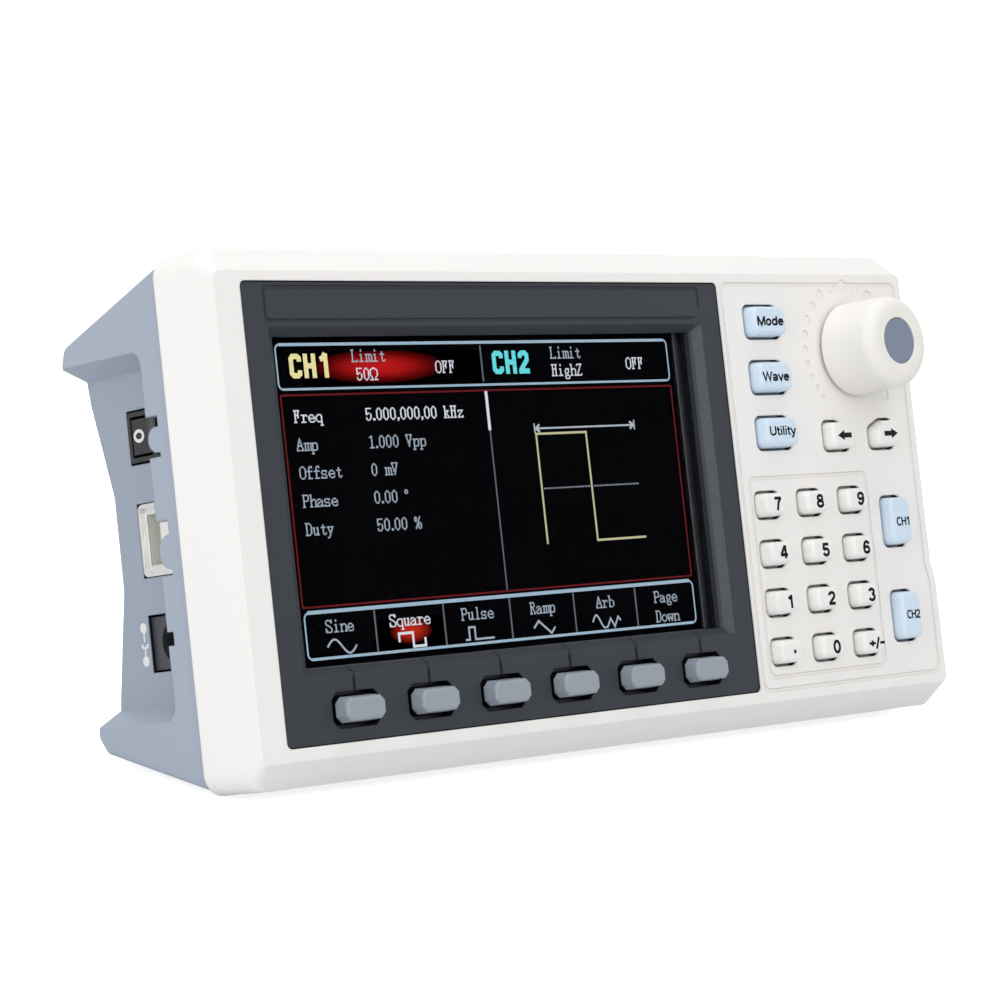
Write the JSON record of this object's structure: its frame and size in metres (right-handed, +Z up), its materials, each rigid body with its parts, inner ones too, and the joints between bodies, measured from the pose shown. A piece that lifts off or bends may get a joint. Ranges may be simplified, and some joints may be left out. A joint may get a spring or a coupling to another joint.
{
  "type": "function generator",
  "caption": "Compact bench function generator with a wide screen, keypad, soft keys, rotary knob and side sockets, leaning back on its sloped base.",
  "frame": {"origin": "middle of the whole part's footprint, on the bench under the feet", "axes": "+X right as the user sees the front, +Y to the back, +Z up; the front face leans back 15.7 degrees"},
  "size_m": [0.187, 0.0614, 0.0894],
  "materials": {
    "case_white": "fine satin moulded plastic, warm white",
    "case_grey": "satin moulded plastic, blue-grey",
    "panel_charcoal": "fine textured charcoal plastic",
    "lens_black": "clear cast lens over a dark screen",
    "screen_glass": "dark display glass",
    "tray_metal": "folded sheet tray",
    "key_grey": "satin grey key plastic",
    "key_white": "satin white key plastic",
    "key_blue": "satin pale blue key plastic",
    "knob_ivory": "soft satin ivory plastic",
    "knob_inlay": "blue-grey disc",
    "steel": "turned steel",
    "nickel": "nickel-plated brass",
    "screw_steel": "black zinc screws",
    "board_green": "lacquered circuit board",
    "ribbon_grey": "flat ribbon",
    "mat_silicone": "silicone key mat",
    "rubber_black": "black rubber",
    "black_plastic": "black moulded plastic",
    "white_insulator": "white insulator",
    "contact_gold": "gilt contact"
  },
  "bodies": {
    "case": {"front_bezel": "case_white", "display_panel": "panel_charcoal", "screen_lens": "lens_black", "screen_glass": "screen_glass", "screen_frame": "tray_metal", "encoder_body": "steel", "encoder_nut": "steel", "key_mat": "mat_silicone", "front_board": "board_green", "front_board_screws": "screw_steel", "rear_casing": "case_grey", "case_screws": "screw_steel", "main_board": "board_green", "main_board_screws": "screw_steel", "shield_can": "tray_metal", "board_ribbon": "ribbon_grey", "screen_ribbon": "ribbon_grey", "ribbon_plugs": "black_plastic", "switch_body": "black_plastic", "power_inlet": "black_plastic", "power_pin": "nickel", "data_socket": "nickel", "data_tongue": "black_plastic", "output_shells": "nickel", "output_nuts": "nickel", "output_insulators": "white_insulator", "output_contacts": "contact_gold", "output_housings": "black_plastic", "rubber_feet": "rubber_black"},
    "key_mode_cap": {"key_mode": "key_blue"},
    "key_wave_cap": {"key_wave": "key_blue"},
    "key_utility_cap": {"key_utility": "key_blue"},
    "key_left_cap": {"key_left": "key_white"},
    "key_right_cap": {"key_right": "key_white"},
    "key_channel_1_cap": {"key_channel_1": "key_white"},
    "key_channel_2_cap": {"key_channel_2": "key_white"},
    "key_point_cap": {"key_point": "key_white"},
    "key_0_cap": {"key_0": "key_white"},
    "key_sign_cap": {"key_sign": "key_white"},
    "key_1_cap": {"key_1": "key_white"},
    "key_2_cap": {"key_2": "key_white"},
    "key_3_cap": {"key_3": "key_white"},
    "key_4_cap": {"key_4": "key_white"},
    "key_5_cap": {"key_5": "key_white"},
    "key_6_cap": {"key_6": "key_white"},
    "key_7_cap": {"key_7": "key_white"},
    "key_8_cap": {"key_8": "key_white"},
    "key_9_cap": {"key_9": "key_white"},
    "soft_key_1_cap": {"soft_key_1": "key_grey"},
    "soft_key_2_cap": {"soft_key_2": "key_grey"},
    "soft_key_3_cap": {"soft_key_3": "key_grey"},
    "soft_key_4_cap": {"soft_key_4": "key_grey"},
    "soft_key_5_cap": {"soft_key_5": "key_grey"},
    "soft_key_6_cap": {"soft_key_6": "key_grey"},
    "push_stage": {"encoder_plunger": "steel"},
    "knob_group": {"knob": "knob_ivory", "knob_disc": "knob_inlay", "encoder_shaft": "steel"},
    "rocker": {"switch_rocker": "black_plastic"}
  },
  "joints": [
    {"name": "key_mode_press", "type": "slide", "parent": "case", "child": "key_mode_cap", "axis": [0, 0.9627, -0.2706], "range_m": [0, 0.0008], "stiffness_N_per_m": 250, "springref_m": -0.0012},
    {"name": "key_wave_press", "type": "slide", "parent": "case", "child": "key_wave_cap", "axis": [0, 0.9627, -0.2706], "range_m": [0, 0.0008], "stiffness_N_per_m": 250, "springref_m": -0.0012},
    {"name": "key_utility_press", "type": "slide", "parent": "case", "child": "key_utility_cap", "axis": [0, 0.9627, -0.2706], "range_m": [0, 0.0008], "stiffness_N_per_m": 250, "springref_m": -0.0012},
    {"name": "key_left_press", "type": "slide", "parent": "case", "child": "key_left_cap", "axis": [0, 0.9627, -0.2706], "range_m": [0, 0.0008], "stiffness_N_per_m": 250, "springref_m": -0.0012},
    {"name": "key_right_press", "type": "slide", "parent": "case", "child": "key_right_cap", "axis": [0, 0.9627, -0.2706], "range_m": [0, 0.0008], "stiffness_N_per_m": 250, "springref_m": -0.0012},
    {"name": "key_channel_1_press", "type": "slide", "parent": "case", "child": "key_channel_1_cap", "axis": [0, 0.9627, -0.2706], "range_m": [0, 0.0008], "stiffness_N_per_m": 250, "springref_m": -0.0012},
    {"name": "key_channel_2_press", "type": "slide", "parent": "case", "child": "key_channel_2_cap", "axis": [0, 0.9627, -0.2706], "range_m": [0, 0.0008], "stiffness_N_per_m": 250, "springref_m": -0.0012},
    {"name": "key_point_press", "type": "slide", "parent": "case", "child": "key_point_cap", "axis": [0, 0.9627, -0.2706], "range_m": [0, 0.0008], "stiffness_N_per_m": 250, "springref_m": -0.0012},
    {"name": "key_0_press", "type": "slide", "parent": "case", "child": "key_0_cap", "axis": [0, 0.9627, -0.2706], "range_m": [0, 0.0008], "stiffness_N_per_m": 250, "springref_m": -0.0012},
    {"name": "key_sign_press", "type": "slide", "parent": "case", "child": "key_sign_cap", "axis": [0, 0.9627, -0.2706], "range_m": [0, 0.0008], "stiffness_N_per_m": 250, "springref_m": -0.0012},
    {"name": "key_1_press", "type": "slide", "parent": "case", "child": "key_1_cap", "axis": [0, 0.9627, -0.2706], "range_m": [0, 0.0008], "stiffness_N_per_m": 250, "springref_m": -0.0012},
    {"name": "key_2_press", "type": "slide", "parent": "case", "child": "key_2_cap", "axis": [0, 0.9627, -0.2706], "range_m": [0, 0.0008], "stiffness_N_per_m": 250, "springref_m": -0.0012},
    {"name": "key_3_press", "type": "slide", "parent": "case", "child": "key_3_cap", "axis": [0, 0.9627, -0.2706], "range_m": [0, 0.0008], "stiffness_N_per_m": 250, "springref_m": -0.0012},
    {"name": "key_4_press", "type": "slide", "parent": "case", "child": "key_4_cap", "axis": [0, 0.9627, -0.2706], "range_m": [0, 0.0008], "stiffness_N_per_m": 250, "springref_m": -0.0012},
    {"name": "key_5_press", "type": "slide", "parent": "case", "child": "key_5_cap", "axis": [0, 0.9627, -0.2706], "range_m": [0, 0.0008], "stiffness_N_per_m": 250, "springref_m": -0.0012},
    {"name": "key_6_press", "type": "slide", "parent": "case", "child": "key_6_cap", "axis": [0, 0.9627, -0.2706], "range_m": [0, 0.0008], "stiffness_N_per_m": 250, "springref_m": -0.0012},
    {"name": "key_7_press", "type": "slide", "parent": "case", "child": "key_7_cap", "axis": [0, 0.9627, -0.2706], "range_m": [0, 0.0008], "stiffness_N_per_m": 250, "springref_m": -0.0012},
    {"name": "key_8_press", "type": "slide", "parent": "case", "child": "key_8_cap", "axis": [0, 0.9627, -0.2706], "range_m": [0, 0.0008], "stiffness_N_per_m": 250, "springref_m": -0.0012},
    {"name": "key_9_press", "type": "slide", "parent": "case", "child": "key_9_cap", "axis": [0, 0.9627, -0.2706], "range_m": [0, 0.0008], "stiffness_N_per_m": 250, "springref_m": -0.0012},
    {"name": "soft_key_1_press", "type": "slide", "parent": "case", "child": "soft_key_1_cap", "axis": [0, 0.9627, -0.2706], "range_m": [0, 0.0008], "stiffness_N_per_m": 250, "springref_m": -0.0012},
    {"name": "soft_key_2_press", "type": "slide", "parent": "case", "child": "soft_key_2_cap", "axis": [0, 0.9627, -0.2706], "range_m": [0, 0.0008], "stiffness_N_per_m": 250, "springref_m": -0.0012},
    {"name": "soft_key_3_press", "type": "slide", "parent": "case", "child": "soft_key_3_cap", "axis": [0, 0.9627, -0.2706], "range_m": [0, 0.0008], "stiffness_N_per_m": 250, "springref_m": -0.0012},
    {"name": "soft_key_4_press", "type": "slide", "parent": "case", "child": "soft_key_4_cap", "axis": [0, 0.9627, -0.2706], "range_m": [0, 0.0008], "stiffness_N_per_m": 250, "springref_m": -0.0012},
    {"name": "soft_key_5_press", "type": "slide", "parent": "case", "child": "soft_key_5_cap", "axis": [0, 0.9627, -0.2706], "range_m": [0, 0.0008], "stiffness_N_per_m": 250, "springref_m": -0.0012},
    {"name": "soft_key_6_press", "type": "slide", "parent": "case", "child": "soft_key_6_cap", "axis": [0, 0.9627, -0.2706], "range_m": [0, 0.0008], "stiffness_N_per_m": 250, "springref_m": -0.0012},
    {"name": "knob_push", "type": "slide", "parent": "case", "child": "push_stage", "axis": [0, 0.9627, -0.2706], "range_m": [0, 0.0005], "stiffness_N_per_m": 1500, "springref_m": -0.0012},
    {"name": "knob_turn", "type": "hinge", "parent": "push_stage", "child": "knob_group", "pos_m": [0.0645, -0.01212, 0.07219], "axis": [0, -0.9627, 0.2706], "continuous": true},
    {"name": "rocker_tilt", "type": "hinge", "parent": "case", "child": "rocker", "pos_m": [-0.0864, 0.01105, 0.05633], "axis": [0, 0.2706, 0.9627], "range_deg": [0, 22]}
  ]
}
